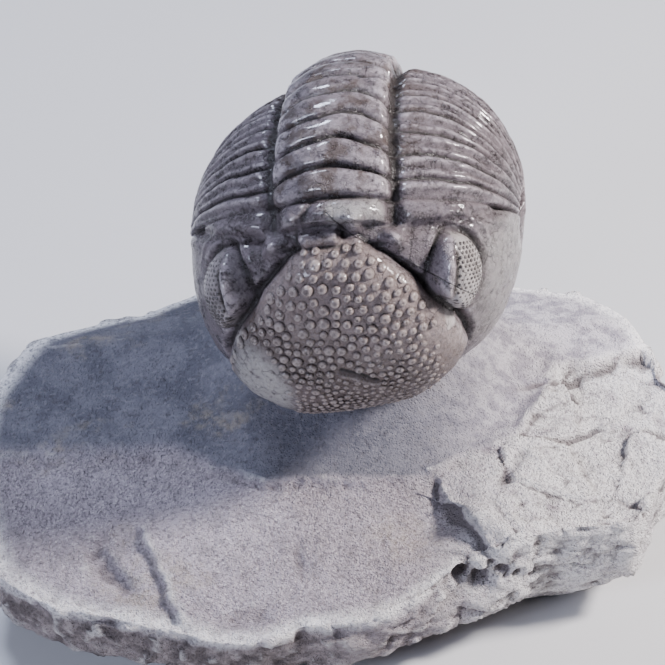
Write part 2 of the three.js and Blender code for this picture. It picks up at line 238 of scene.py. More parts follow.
def head_relief(turn, signed_side, across):
    side = np.abs(signed_side)
    x, y = head_plan(turn, signed_side)
    inset = glabella_inset(x, y)
    low = smoothstep(-78, -52, turn)
    relief = GLABELLA_RISE * (1 - np.exp(-np.maximum(inset, 0) / 2.6)) * low
    relief -= 1.3 * bell(inset + 0.6, 0.8) * smoothstep(-22, -12, y) * smoothstep(11.5, 7, y)
    relief += eye_relief(np.abs(x), y) * smoothstep(-0.6, 1.6, -inset)
    cheek = smoothstep(9.5, 12, across) * smoothstep(80, 62, side)
    relief -= 1.2 * bell(y - 12.9 + 0.004 * x * x, 1.1) * cheek
    relief += 0.6 * bell(y - 15.9 + 0.01 * x * x, 1.4) * cheek
    relief += np.where(across < 11, occipital_relief(x, y, across), 0)
    return relief - 1.0 * bell(across - AXIS_HALF_WIDTH - 0.4, 1) * smoothstep(11.5, 14, y)


def body_radius(turn, signed_side):
    side = np.abs(signed_side)
    bare = bare_radius(turn, signed_side)
    across = bare * np.sin(np.radians(side))
    past_joint = smoothstep(THORAX_START - 0.8, THORAX_START + 0.8, turn)
    trunk = past_joint * trunk_relief(turn, side, across)
    head_turn = np.minimum(turn, THORAX_START + 1)
    head = (1 - past_joint) * head_relief(head_turn, signed_side, across)
    joint = -0.5 * bell(turn - THORAX_START, 1.3) * smoothstep(85, 70, side)
    return bare + blend(joint + (trunk + head), FLANK_RELIEF, smoothstep(80, 87, side))


BODY_FACING = Euler((0, math.radians(BODY_ROLL), math.radians(BODY_YAW)), "XYZ").to_matrix()


def to_stone(points):
    return points @ np.array(BODY_FACING).T + np.array(BODY_CENTRE)


midline = body_radius(np.array([0, 90, 180]), np.zeros(3))
print("midline radius at front, back and tail", midline.round(2), "mm")

# %% [markdown]
# ## Turning a bmesh into an object
# Points are worked out in millimetres with numpy, then written back to the mesh in metres. Smooth shading
# is set once here, because every piece of this specimen is organic.

# %% Mesh helpers
def read_points(mesh_in_making):
    return np.array([vertex.co[:] for vertex in mesh_in_making.verts])


def write_points(mesh_in_making, points):
    for vertex, point in zip(mesh_in_making.verts, points):
        vertex.co = point


def put(name, data):
    thing = bpy.data.objects.new(name, data)
    bpy.context.collection.objects.link(thing)
    return thing


def finish_piece(name, mesh_in_making, material):
    mesh = bpy.data.meshes.new(name)
    if mesh_in_making.calc_volume(signed=True) < 0:
        bmesh.ops.reverse_faces(mesh_in_making, faces=mesh_in_making.faces)
    mesh_in_making.to_mesh(mesh)
    mesh_in_making.free()
    mesh.transform(Matrix.Scale(MM, 4))
    mesh.shade_smooth()
    mesh.materials.append(material)
    piece = put(name, mesh)
    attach(piece, "root")
    return piece


def fractal(points, size, octaves=4):
    return np.array([noise.fractal(Vector(point) / size, 0.9, 2.1, octaves) for point in points])


# %% [markdown]
# ## Masks that follow the shape
# Petrified shell is pale where it is worn on the crests, and its furrows are darkened, partly for the deposit
# in them and partly as painted shade.
# Comparing each point with a smoothed copy of the mesh tells crests from furrows, and the answer is kept
# as an attribute that the shaders read.

# %% Attributes worked out from the mesh
def point_attribute(piece, name, values):
    attribute = piece.data.attributes.new(name, "FLOAT", "POINT")
    attribute.data.foreach_set("value", np.asarray(values, dtype=np.float32))


def crest_height(piece, rounds):
    mesh = piece.data
    count = len(mesh.vertices)
    points = np.empty(count * 3)
    normals = np.empty(count * 3)
    pairs = np.empty(len(mesh.edges) * 2, dtype=np.int64)
    mesh.vertices.foreach_get("co", points)
    mesh.vertices.foreach_get("normal", normals)
    mesh.edges.foreach_get("vertices", pairs)
    points, normals = points.reshape(-1, 3) / MM, normals.reshape(-1, 3)
    near, far = pairs[0::2], pairs[1::2]
    ends, others = np.concatenate([near, far]), np.concatenate([far, near])
    links = np.maximum(np.bincount(ends, minlength=count), 1)
    smooth = points.copy()
    for _ in range(rounds):
        smooth = np.stack([np.bincount(ends, smooth[others, k], count) / links for k in range(3)], axis=-1)
    return np.einsum("ij,ij->i", points - smooth, normals)


# %% [markdown]
# ## Shader building blocks
# A small helper adds a node, sets its inputs and links what is passed as a socket. Patches, grain and cracks
# are needed more than once, so each is a node group with named inputs: patches are soft-edged clouds, grain
# is a bumpy height with sparse specks, and cracks are a bent net that shows only here and there.

# %% Node helper and shared groups
def add_node(tree, kind, inputs=None, **settings):
    node = tree.nodes.new(kind)
    for name, value in settings.items():
        setattr(node, name, value)
    for key, value in (inputs or {}).items():
        if isinstance(value, bpy.types.NodeSocket):
            tree.links.new(value, node.inputs[key])
        else:
            node.inputs[key].default_value = value
    return node


def combine(tree, operation, first, second):
    return add_node(tree, "ShaderNodeMath", {0: first, 1: second}, operation=operation).outputs[0]


def times(tree, first, second):
    return combine(tree, "MULTIPLY", first, second)


def plus(tree, first, second):
    return combine(tree, "ADD", first, second)


def spread(tree, value, low, high, to_low=0.0, to_high=1.0):
    node = add_node(tree, "ShaderNodeMapRange", {"Value": value, "From Min": low, "From Max": high,
                                                 "To Min": to_low, "To Max": to_high})
    return node.outputs["Result"]


def new_group(name, numbers, outputs):
    group = bpy.data.node_groups.new(name, "ShaderNodeTree")
    group.interface.new_socket("Place", in_out="INPUT", socket_type="NodeSocketVector")
    for label, value in numbers.items():
        socket = group.interface.new_socket(label, in_out="INPUT", socket_type="NodeSocketFloat")
        socket.default_value = value
    for label in outputs:
        group.interface.new_socket(label, in_out="OUTPUT", socket_type="NodeSocketFloat")
    return group, group.nodes.new("NodeGroupInput").outputs, group.nodes.new("NodeGroupOutput").inputs


def patches_group():
    group, given, result = new_group("Patches", {"Per mm": 0.2, "Start": 0.5, "End": 0.6}, ["Mask"])
    cloud = add_node(group, "ShaderNodeTexNoise",
                     {"Vector": given["Place"], "Scale": given["Per mm"], "Detail": 6.0, "Roughness": 0.62})
    step = add_node(group, "ShaderNodeMapRange",
                    {"Value": cloud.outputs["Fac"], "From Min": given["Start"], "From Max": given["End"]},
                    interpolation_type="SMOOTHSTEP")
    group.links.new(step.outputs["Result"], result["Mask"])
    return group


def grain_group():
    group, given, result = new_group("Grain", {"Coarse per mm": 1.2, "Fine per mm": 6.0, "Pits": 0.5},
                                     ["Height", "Speck"])
    place, coarse_scale, fine_scale = given["Place"], given["Coarse per mm"], given["Fine per mm"]
    coarse = add_node(group, "ShaderNodeTexNoise",
                      {"Vector": place, "Scale": coarse_scale, "Detail": 5.0, "Roughness": 0.6})
    fine = add_node(group, "ShaderNodeTexNoise",
                    {"Vector": place, "Scale": fine_scale, "Detail": 4.0, "Roughness": 0.7})
    holes = add_node(group, "ShaderNodeTexVoronoi", {"Vector": place, "Scale": fine_scale})
    pit = spread(group, holes.outputs["Distance"], 0.0, 0.45, -1.0, 0.0)
    bumps = plus(group, coarse.outputs["Fac"], fine.outputs["Fac"])
    speck = add_node(group, "ShaderNodeMapRange",
                     {"Value": fine.outputs["Fac"], "From Min": 0.52, "From Max": 0.68},
                     interpolation_type="SMOOTHSTEP")
    group.links.new(plus(group, bumps, times(group, pit, given["Pits"])), result["Height"])
    group.links.new(speck.outputs["Result"], result["Speck"])
    return group


def cracks_group():
    group, given, result = new_group("Cracks", {"Per mm": 0.4, "Width": 0.03}, ["Mask"])
    sway = add_node(group, "ShaderNodeTexNoise", {"Vector": given["Place"], "Scale": 0.5, "Detail": 3.0})
    bent = add_node(group, "ShaderNodeVectorMath", {0: sway.outputs["Color"], 1: (3.0, 3.0, 3.0)},
                    operation="MULTIPLY")
    moved = add_node(group, "ShaderNodeVectorMath", {0: given["Place"], 1: bent.outputs["Vector"]},
                     operation="ADD")
    net = add_node(group, "ShaderNodeTexVoronoi",
                   {"Vector": moved.outputs["Vector"], "Scale": given["Per mm"]}, feature="DISTANCE_TO_EDGE")
    line = spread(group, net.outputs["Distance"], 0.0, given["Width"], 1.0, 0.0)
    some = add_node(group, "ShaderNodeTexNoise", {"Vector": given["Place"], "Scale": 0.25, "Detail": 2.0})
    part = spread(group, some.outputs["Fac"], 0.47, 0.56)
    group.links.new(times(group, line, part), result["Mask"])
    return group


PATCHES = patches_group()
GRAIN = grain_group()
CRACKS = cracks_group()
print("shared groups", [group.name for group in (PATCHES, GRAIN, CRACKS)])

# %% [markdown]
# ## Short names for what every material needs
# A material reads like a recipe when each of its layers is one line. These functions place a shared group,
# read a piece's own attribute, stretch a mask or mix two colours, and give back the socket that carries on.

# %% Functions that build a material's layers
PER_METRE = 1000


def new_material(name):
    material = bpy.data.materials.new(name)
    material.use_nodes = True
    tree = material.node_tree
    tree.nodes.clear()
    surface = tree.nodes.new("ShaderNodeBsdfPrincipled")
    end = tree.nodes.new("ShaderNodeOutputMaterial")
    tree.links.new(surface.outputs["BSDF"], end.inputs["Surface"])
    coordinates = tree.nodes.new("ShaderNodeTexCoord")
    in_millimetres = add_node(tree, "ShaderNodeMapping",
                              {"Vector": coordinates.outputs["Object"], "Scale": [PER_METRE] * 3})
    return material, tree, surface, in_millimetres.outputs["Vector"]


def patches(tree, place, per_mm, start, end):
    inputs = {"Place": place, "Per mm": per_mm, "Start": start, "End": end}
    return add_node(tree, "ShaderNodeGroup", inputs, node_tree=PATCHES).outputs["Mask"]


def grain(tree, place, coarse, fine, pits):
    inputs = {"Place": place, "Coarse per mm": coarse, "Fine per mm": fine, "Pits": pits}
    return add_node(tree, "ShaderNodeGroup", inputs, node_tree=GRAIN).outputs


def cracks(tree, place, per_mm, width):
    inputs = {"Place": place, "Per mm": per_mm, "Width": width}
    return add_node(tree, "ShaderNodeGroup", inputs, node_tree=CRACKS).outputs["Mask"]


def attribute(tree, name):
    return add_node(tree, "ShaderNodeAttribute", attribute_name=name).outputs["Fac"]


def mix(tree, share, first, second):
    node = add_node(tree, "ShaderNodeMix", data_type="RGBA")
    for socket, value in ((node.inputs[0], share), (node.inputs[6], first), (node.inputs[7], second)):
        if isinstance(value, bpy.types.NodeSocket):
            tree.links.new(value, socket)
        else:
            socket.default_value = value
    return node.outputs[2]


def layer(tree, under, mask, strength, colour):
    return mix(tree, times(tree, mask, strength), under, colour)


def bump(tree, surface, height, distance_mm):
    node = add_node(tree, "ShaderNodeBump", {"Height": height, "Distance": distance_mm * MM, "Strength": 1.0})
    tree.links.new(node.outputs["Normal"], surface.inputs["Normal"])


# %% [markdown]
# ## Petrified shell
# The shell is dark grey-brown calcite with a satin polish from the preparator's brush. Crests are worn pale,
# furrows are darkened by their deposit and by painted shade, brown stains spot the rings, and the front of
# the glabella has a whitish worn patch. Painted light makes the glabella's ground paler toward its upper
# right, and the right cheek paler, where the key falls. The tubercle tips carry a painted highlight, and
# their pits and feet painted shade. One crack, glued long ago, runs across the head past the right eye. The
# layers are mixed in that order over a mottled ground, and only the crests get the clear coat that makes the
# small bright glints.

# %% Shell material
SHELL_DARK, SHELL_GREY, SHELL_FLECK = (0.027, 0.019, 0.021, 1), (0.125, 0.10, 0.111, 1), (0.25, 0.21, 0.23, 1)
RUBBED_CREST, BROWN_STAIN = (0.475, 0.415, 0.44, 1), (0.055, 0.033, 0.024, 1)
GLABELLA_DARK, GLABELLA_LIT = (0.078, 0.053, 0.041, 1), (0.30, 0.232, 0.212, 1)
TUBERCLE_TIP_WEAR_AND_HIGHLIGHT, PALE_WEAR_AND_LIGHT, EYE_NET = (0.42, 0.35, 0.32, 1), (0.36, 0.345, 0.33, 1), (0.42, 0.385, 0.37, 1)
FURROW_SHADE_AND_DEPOSIT, VEIN_DARK, GLUE_DARK = (0.014, 0.010, 0.009, 1), (0.02, 0.015, 0.014, 1), (0.012, 0.01, 0.009, 1)
SHELL_BUMP = 0.22


def shell_material():
    material, tree, surface, place = new_material("petrified_shell")
    crest = attribute(tree, "crest")
    mottle = patches(tree, place, 0.5, 0.40, 0.60)
    fine = patches(tree, place, 2.4, 0.42, 0.60)
    grains = grain(tree, place, 1.1, 5.0, 0.5)
    stone = mix(tree, mottle, SHELL_DARK, SHELL_GREY)
    stone = layer(tree, stone, fine, 0.45, SHELL_FLECK)
    veins = cracks(tree, place, 0.42, 0.035)
    worn = times(tree, spread(tree, crest, 0.08, 0.36), patches(tree, place, 0.9, 0.36, 0.6))
    stone = layer(tree, stone, worn, 0.75, RUBBED_CREST)
    stain = times(tree, patches(tree, place, 0.24, 0.50, 0.60), attribute(tree, "stain"))
    stone = layer(tree, stone, stain, 0.75, BROWN_STAIN)
    warm = times(tree, attribute(tree, "warm"), spread(tree, fine, 0, 1, 0.85, 0.55))
    # Painted light: the glabella's ground turns paler toward its upper right, where the key light falls.
    light_patchiness = spread(tree, patches(tree, place, 1.5, 0.40, 0.58), 0, 1, 0.45, 1.0)
    lit_upper_right = times(tree, attribute(tree, "lit_upper_right"), light_patchiness)
    ground = mix(tree, lit_upper_right, GLABELLA_DARK, GLABELLA_LIT)
    stone = mix(tree, warm, stone, ground)
    # Worn tubercle tips, with a painted highlight ring round the darker pit.
    tip = times(tree, attribute(tree, "tip"), spread(tree, mottle, 0, 1, 0.45, 0.9))
    stone = mix(tree, tip, stone, TUBERCLE_TIP_WEAR_AND_HIGHLIGHT)
    # The pale layer: the worn patch and the beige occipital ring, plus the right cheek made paler as painted
    # light.
    pale = times(tree, attribute(tree, "pale"), patches(tree, place, 0.9, 0.30, 0.52))
    stone = mix(tree, pale, stone, PALE_WEAR_AND_LIGHT)
    stone = layer(tree, stone, attribute(tree, "eye"), 0.85, EYE_NET)
    # Painted shade in furrows, tubercle pits and round tubercle feet, over the real deposit in the furrows.
    hollow_shade = spread(tree, crest, -0.02, -0.22)
    stone = layer(tree, stone, hollow_shade, 0.88, FURROW_SHADE_AND_DEPOSIT)
    stone = layer(tree, stone, veins, 0.8, VEIN_DARK)
    crack = spread(tree, attribute(tree, "crack"), 0.03, 0.13, 1.0, 0.0)
    stone = layer(tree, stone, crack, 0.95, GLUE_DARK)
    tree.links.new(stone, surface.inputs["Base Color"])
    gloss = spread(tree, mottle, 0.0, 1.0, 0.24, 0.40)
    rough = plus(tree, gloss, times(tree, grains["Speck"], 0.12))
    tree.links.new(rough, surface.inputs["Roughness"])
    polish = times(tree, spread(tree, crest, -0.05, 0.2, 0.1, 1.0), patches(tree, place, 0.8, 0.3, 0.6))
    tree.links.new(polish, surface.inputs["Coat Weight"])
    surface.inputs["Coat Roughness"].default_value = 0.11
    cut = plus(tree, times(tree, crack, -1.5), times(tree, veins, -0.6))
    bump(tree, surface, plus(tree, grains["Height"], cut), SHELL_BUMP)
    return material


SHELL = shell_material()
print("shell nodes", len(SHELL.node_tree.nodes))

# %% [markdown]
# ## Limestone
# Fresh breaks are granular and pinkish grey, the zone round the fossil was air-scribed to a smooth, darker
# grey-lilac, blows left chalky bruises along the rims, and the old sides are stained brown. Each of these is
# a colour of its own, and the stone mesh brings the attributes that say where each one lies. The scribed zone
# is dark bluish grey as painted shade on the left and pale lilac as painted light toward the right, where the
# key falls, and the hollows get painted shade.

# %% Limestone material
FRESH_GREY, FRESH_PINK, FRESH_SPECK = (0.39, 0.338, 0.37, 1), (0.515, 0.455, 0.505, 1), (0.84, 0.785, 0.81, 1)
DARK_GRAIN, SMUDGE = (0.15, 0.125, 0.14, 1), (0.24, 0.215, 0.225, 1)
SCRIBED_DARK, SCRIBED_GREY = (0.095, 0.095, 0.118, 1), (0.155, 0.152, 0.18, 1)
SCRIBED_PALE, SCRIBED_SPOT = (0.25, 0.24, 0.265, 1), (0.065, 0.06, 0.07, 1)
LILAC_DARK, LILAC_PALE = (0.33, 0.30, 0.345, 1), (0.60, 0.56, 0.60, 1)
OCHRE, OLD_DARK, OLD_BROWN = (0.42, 0.35, 0.25, 1), (0.145, 0.12, 0.118, 1), (0.42, 0.36, 0.355, 1)
BRUISED_EDGE, CHALK, HOLLOW_SHADE = (0.78, 0.75, 0.745, 1), (0.93, 0.895, 0.89, 1), (0.15, 0.125, 0.13, 1)
STONE_BUMP = 0.85


def limestone_material():
    material, tree, surface, place = new_material("limestone")
    prepared = attribute(tree, "prepared")
    crest = attribute(tree, "crest")
    old = attribute(tree, "old_face")
    grains = grain(tree, place, 0.7, 2.5, 0.7)
    cloud = patches(tree, place, 0.07, 0.36, 0.64)
    fresh = mix(tree, cloud, FRESH_GREY, FRESH_PINK)
    fresh = layer(tree, fresh, grains["Speck"], 0.65, FRESH_SPECK)
    dark_grain = patches(tree, place, 1.9, 0.50, 0.60)
    fresh = layer(tree, fresh, dark_grain, 0.6, DARK_GRAIN)
    smudge = patches(tree, place, 0.35, 0.48, 0.66)
    fresh = layer(tree, fresh, smudge, 0.45, SMUDGE)
    # The scribed zone: dark bluish greys as painted shade, turning to pale lilac as painted light toward the
    # right.
    smooth = mix(tree, patches(tree, place, 0.16, 0.38, 0.62), SCRIBED_DARK, SCRIBED_GREY)
    smooth = layer(tree, smooth, patches(tree, place, 1.3, 0.5, 0.66), 0.4, SCRIBED_PALE)
    smooth = layer(tree, smooth, patches(tree, place, 0.9, 0.54, 0.64), 0.5, SCRIBED_SPOT)
    lilac = mix(tree, patches(tree, place, 0.45, 0.4, 0.6), LILAC_DARK, LILAC_PALE)
    smooth = mix(tree, times(tree, attribute(tree, "painted_light_paler"), 0.9), smooth, lilac)
    stone = mix(tree, prepared, fresh, smooth)
    ochre = times(tree, patches(tree, place, 0.05, 0.56, 0.66), patches(tree, place, 0.6, 0.35, 0.6))
    stone = layer(tree, stone, ochre, 0.35, OCHRE)
    brown = mix(tree, patches(tree, place, 0.3, 0.4, 0.62), OLD_DARK, OLD_BROWN)
    stone = layer(tree, stone, old, 0.95, brown)
    bruised = times(tree, spread(tree, crest, 0.10, 0.38), patches(tree, place, 0.4, 0.36, 0.56))
    stone = layer(tree, stone, bruised, 0.75, BRUISED_EDGE)
    chalk_cloud = times(tree, patches(tree, place, 0.22, 0.26, 0.5), patches(tree, place, 1.5, 0.28, 0.54))
    chalk = times(tree, attribute(tree, "bruise"), chalk_cloud)
    stone = mix(tree, chalk, stone, CHALK)
    # Painted shade in the stone's hollows.
    hollow_shade = spread(tree, crest, -0.05, -0.35)
    stone = layer(tree, stone, hollow_shade, 0.8, HOLLOW_SHADE)
    tree.links.new(stone, surface.inputs["Base Color"])
    surface.inputs["Roughness"].default_value = 0.86
    surface.inputs["Specular IOR Level"].default_value = 0.35
    height = times(tree, grains["Height"], spread(tree, prepared, 0, 1, 1.0, 0.4))
    bump(tree, surface, height, STONE_BUMP)
    return material


LIMESTONE = limestone_material()
print("limestone nodes", len(LIMESTONE.node_tree.nodes))

# %% [markdown]
# ## Where the shell is worn, stained, cracked and painted with light
# A crack, a cleft and a slit are short broken lines on the head's plan. The distance from such a line cuts
# the cleft and the slit into the mesh. For the crack it is kept as an attribute, from which the material
# draws a dark seam with a fine groove. The worn patch, the painted light toward the upper right of the head
# and the right cheek painted paler are soft areas on the same plan.

# %% Masks that the shell's finish needs
HEAD_CRACK = [(-0.3, 16.2), (3.5, 12.6), (10.6, 7.9), (14, 4.9), (18.1, 0.8), (21.1, -2.3)]
OCCIPITAL_CLEFT = [(-2.6, 18.0), (-3.4, 16.2), (-4.6, 15.0)]
GLABELLA_SLIT = [(-1.0, -7.2), (1.4, -8.6), (3.4, -10.4)]
WORN_PATCH = (-13, -11)
FAR = 9.0


def distance_to_line(x, y, line):
    best = np.full(x.shape, FAR)
    for (ax, ay), (bx, by) in zip(line, line[1:]):
        length = (bx - ax) ** 2 + (by - ay) ** 2
        share = np.clip(((x - ax) * (bx - ax) + (y - ay) * (by - ay)) / length, 0, 1)
        best = np.minimum(best, np.hypot(x - ax - share * (bx - ax), y - ay - share * (by - ay)))
    return best


def worn_patch(x, y):
    centre_x, centre_y = WORN_PATCH
    return smoothstep(6.5, 3.0, np.hypot((x - centre_x) / 0.9, (y - centre_y) / 1.5))


def mark_shell(piece, turn, side, x, y):
    on_head = turn < THORAX_START
    glabella = smoothstep(-0.2, 1.5, glabella_inset(x, y)) * on_head
    occipital = bell(y - 16.2, 1.6) * smoothstep(-1, 0.5, x) * smoothstep(8.8, 7.5, x) * on_head
    point_attribute(piece, "warm", glabella * (1 - worn_patch(x, y)))
    # Painted light: paler toward the upper right of the head, where the key falls; the material uses it on
    # the glabella.
    point_attribute(piece, "lit_upper_right", smoothstep(-11, 2, y + 0.45 * x))
    # Painted light: the right cheek is made paler where the key light falls.
    right_cheek_light = 0.5 * smoothstep(17, 27, x) * smoothstep(13, 3, y) * on_head
    pale = np.maximum(glabella * worn_patch(x, y), np.maximum(0.8 * occipital, right_cheek_light))
    point_attribute(piece, "pale", pale)
    point_attribute(piece, "stain", (1 - on_head) * smoothstep(40, 20, np.abs(side)))
    point_attribute(piece, "crack", np.where(on_head, distance_to_line(x, y, HEAD_CRACK), FAR))


print("head crack length", round(sum(math.dist(a, b) for a, b in zip(HEAD_CRACK, HEAD_CRACK[1:])), 1), "mm")

# %% [markdown]
# ## Modelling the body
# A UV sphere gives even rows round the body. The rows are respaced, close together over the thorax and far
# apart on the hidden underside, and the head is subdivided once more, because it carries the finest relief.

# %% Body sphere, respaced and refined
BODY_ROWS = 372
BODY_COLUMNS = 150
ROW_SHARES = [(0, -62), (0.28, 38), (0.36, 50), (0.80, 160), (0.92, 210), (1, 298)]


def ball_angles(points):
    unit = points / np.linalg.norm(points, axis=1)[:, None]
    share = (np.degrees(np.arctan2(unit[:, 1], unit[:, 0])) % 360) / 360
    return along(ROW_SHARES, share), np.degrees(np.arcsin(np.clip(unit[:, 2], -1, 1)))


body = bmesh.new()
bmesh.ops.create_uvsphere(body, u_segments=BODY_ROWS, v_segments=BODY_COLUMNS, radius=1)
turn, side = ball_angles(read_points(body))
in_head = (turn > -50) & (turn < 48) & (np.abs(side) < 64)
fine_edges = [e for e in body.edges if in_head[e.verts[0].index] and in_head[e.verts[1].index]]
bmesh.ops.subdivide_edges(body, edges=fine_edges, cuts=1, use_grid_fill=True)
turn, side = ball_angles(read_points(body))
print("body faces", len(body.faces))

# %% [markdown]
# ## Relief and damage of this one specimen
# A perfect fossil would look cast. So the rib lines wander a little, the whole skin is faintly dented, and
# the damage that this specimen shows is added one by one: the cleft and the swollen lobe of the occipital
# ring, the slit low on the glabella with its raised lip, and the break with a knob across one thorax ring.

# %% Body relief
RIB_WANDER = 1.5
RING_BREAK_TURN, RING_BREAK_SIDE, RING_BREAK_SLOPE = 94, 1.5, 0.5
MM_PER_TURN = 0.42
RING_KNOB_TURN, RING_KNOB_SIDE = 95.5, 7.0
LOBE_X, LOBE_Y = -6.6, 15.2
SLIT_LIP_OFFSET = 0.9

free_to_wander = smoothstep(THORAX_START + 3, THORAX_START + 8, turn)
wander = RIB_WANDER * fractal(direction(turn, side) * 24, 6.0, 2) * free_to_wander
wander = wander * smoothstep(80, 66, np.abs(side))
radius = body_radius(turn + wander, side)
across = radius * np.sin(np.radians(side))
on_head = smoothstep(THORAX_START + 1, THORAX_START - 1, turn)
plan_x, plan_y = head_plan(turn, side)
radius -= 0.5 * on_head * bell(distance_to_line(plan_x, plan_y, OCCIPITAL_CLEFT), 0.5)
radius += 0.7 * on_head * bell(plan_x - LOBE_X, 1.6) * bell(plan_y - LOBE_Y, 1.6)
radius -= 0.7 * on_head * bell(distance_to_line(plan_x, plan_y, GLABELLA_SLIT), 0.35)
radius += 0.35 * on_head * bell(distance_to_line(plan_x, plan_y + SLIT_LIP_OFFSET, GLABELLA_SLIT), 0.6)
from_break = (turn - RING_BREAK_TURN) * MM_PER_TURN - RING_BREAK_SLOPE * (across - RING_BREAK_SIDE)
radius -= 0.55 * bell(from_break, 0.3) * bell(across - 4.2, 2.6) * bell(turn - 100, 7)
radius += 0.6 * bell(across - RING_KNOB_SIDE, 1.2) * bell(turn - RING_KNOB_TURN, 2.6)
skin = direction(turn, side) * radius[:, None]
dents = 0.16 * fractal(skin, 5.0, 3) + 0.085 * fractal(skin, 1.3, 3)
skin = skin * (1 + dents / radius)[:, None]
write_points(body, to_stone(skin))
print("skin radius from", radius.min().round(2), "to", radius.max().round(2), "mm")

# %% [markdown]
# ## The body as a piece
# The finished mesh takes the place of the plain solid in the frame. Its attributes follow: how far each
# point stands out, where the eyes' pale net lies (fainter in the left eye), and no tubercle tips of its own.

# %% Body piece and its masks
LEFT_EYE_SHARE = 0.35

body_piece = finish_piece("trilobite_body", body, SHELL)
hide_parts("trilobite")
mark_shell(body_piece, turn, side, plan_x, plan_y)
body_crest, body_x, body_y, body_turn = crest_height(body_piece, 14), plan_x, plan_y, turn
point_attribute(body_piece, "crest", body_crest)
point_attribute(body_piece, "tip", np.zeros(len(turn)))
in_eye = smoothstep(EYE_FOOT + 0.1, EYE_FOOT - 0.3, eye_reach(np.abs(plan_x), plan_y))
in_eye = in_eye * np.where(plan_x < 0, LEFT_EYE_SHARE, 1)
outward = eye_place(np.abs(plan_x), plan_y)[1]
point_attribute(body_piece, "eye", in_eye * smoothstep(0.1, 0.6, outward) * (turn < THORAX_START))
print("body attributes", [layer.name for layer in body_piece.data.attributes if not layer.is_internal])

# %% [markdown]
# ## Tubercles
# The glabella is pimpled with a few hundred tubercles, large at the back and crowded small at the front.
# Points on a jittered grid push each other apart until they have the spacing of the real ones, which
# avoids the ruled rows of an array. None stand in the worn patch, on the slit or low on the right cheek side.

# %% Places of the tubercles
TUBERCLE_SEED = 7
TUBERCLE_SPACING = [(-24, 1.05), (-12, 1.25), (-3, 1.62), (11, 2.0)]
BACK_ROW, FRONT_ROW, BACK_LIMIT = 10.8, -23.5, 11.4
SETTLING_ROUNDS = 14
STAGGER = 0.87


def spacing_at(y):
    return along(TUBERCLE_SPACING, y)


def tubercle_places():
    random = np.random.default_rng(TUBERCLE_SEED)
    spots = []
    y = BACK_ROW
    while y > FRONT_ROW:
        step = float(spacing_at(y))
        half = float(along(GLABELLA_PLAN, y)) + 1
        row = np.arange(-half, half, step) + random.uniform(0, step)
        spots += [(x + random.normal(0, 0.26) * step, y + random.normal(0, 0.22) * step) for x in row]
        y -= STAGGER * step
    spots = np.array(spots)
    share = random.uniform(0.78, 1.2, len(spots))
    for _ in range(SETTLING_ROUNDS):
        apart = spots[:, None, :] - spots[None, :, :]
        gap = np.linalg.norm(apart, axis=-1) + 1e-9
        room = spacing_at(spots[:, 1]) * share
        wanted = 0.5 * (room[:, None] + room[None, :])
        push = np.where(gap < wanted, (wanted - gap) * 0.22, 0)
        np.fill_diagonal(push, 0)
        spots = spots + (apart / gap[..., None] * push[..., None]).sum(axis=1)
    inside = glabella_inset(spots[:, 0], spots[:, 1]) > 0.8 * spacing_at(spots[:, 1])
    bare = worn_patch(spots[:, 0], spots[:, 1]) > random.uniform(0.15, 0.85, len(spots))
    bare |= smoothstep(10.5, 14.5, spots[:, 0]) * (spots[:, 1] < 0) > random.uniform(0.1, 0.9, len(spots))
    on_slit = distance_to_line(spots[:, 0], spots[:, 1], GLABELLA_SLIT) < 0.8
    kept = inside & ~bare & ~on_slit & (spots[:, 1] < BACK_LIMIT)
    return spots[kept], (share * spacing_at(spots[:, 1]))[kept], random


spots, room, random = tubercle_places()
print("tubercles stand", room.min().round(2), "to", room.max().round(2), "mm apart")

# %% [markdown]
# ## Wrapping small domes on the head
# One small sphere is the pattern. Copies of it are joined into a single mesh, and each point is then laid on
# the head: its x and y on the plan, its height above the skin. The lower half sinks in, so no gap shows.

# %% Domes wrapped on the head
def plan_to_ball(x, y):
    arc = np.hypot(x, y) / PLAN_RADIUS
    bearing = np.arctan2(y, x)
    sideways = np.array([1.0, 0, 0])
    place = (np.cos(arc)[:, None] * direction(HEAD_TURN, 0)
             + (np.sin(arc) * np.sin(bearing))[:, None] * HEAD_BACK
             + (np.sin(arc) * np.cos(bearing))[:, None] * sideways)
    side = np.degrees(np.arcsin(np.clip(place[:, 0], -1, 1)))
    turn = np.degrees(np.arctan2(place[:, 2], -place[:, 1]))
    return turn, side


def on_the_head(x, y, height):
    turn, side = plan_to_ball(x, y)
    return to_stone(direction(turn, side) * (body_radius(turn, side) + height)[:, None])


def pimples(name, spots, radii, heights, segments, rings, bluntness, pit, material):
    pattern = bmesh.new()
    bmesh.ops.create_uvsphere(pattern, u_segments=segments, v_segments=rings, radius=1)
    one = bpy.data.meshes.new(name + "_pattern")
    pattern.to_mesh(one)
    pattern.free()
    together = bmesh.new()
    for _ in spots:
        together.from_mesh(one)
    bpy.data.meshes.remove(one)
    unit = read_points(together)
    each = len(unit) // len(spots)
    centre = np.repeat(spots, each, axis=0)
    radius = np.repeat(radii, each)
    rise = np.repeat(heights, each)
    reach = np.minimum(np.hypot(unit[:, 0], unit[:, 1]), 1)
    dome = rise * ((1 - reach ** bluntness) ** 0.75 - pit * (reach < 0.1)) - 0.04
    height = np.where(unit[:, 2] > -0.01, dome, -0.3 * (1 - reach ** 2) - 0.04)
    x = centre[:, 0] + unit[:, 0] * radius
    y = centre[:, 1] + unit[:, 1] * radius
    write_points(together, on_the_head(x, y, height))
    piece = finish_piece(name, together, material)
    print(name, len(spots), "faces", len(piece.data.polygons))
    return piece, np.where(unit[:, 2] > -0.01, 1 - reach, 0), x, y


# %% [markdown]
# ## Tubercles as a piece
# A tubercle rises up to half as far as it is wide and has a small pit on top. Its rim is worn pale and
# carries a painted highlight, its pit gets painted shade, and the skin round its foot gets painted shade
# through the body's own crest attribute.

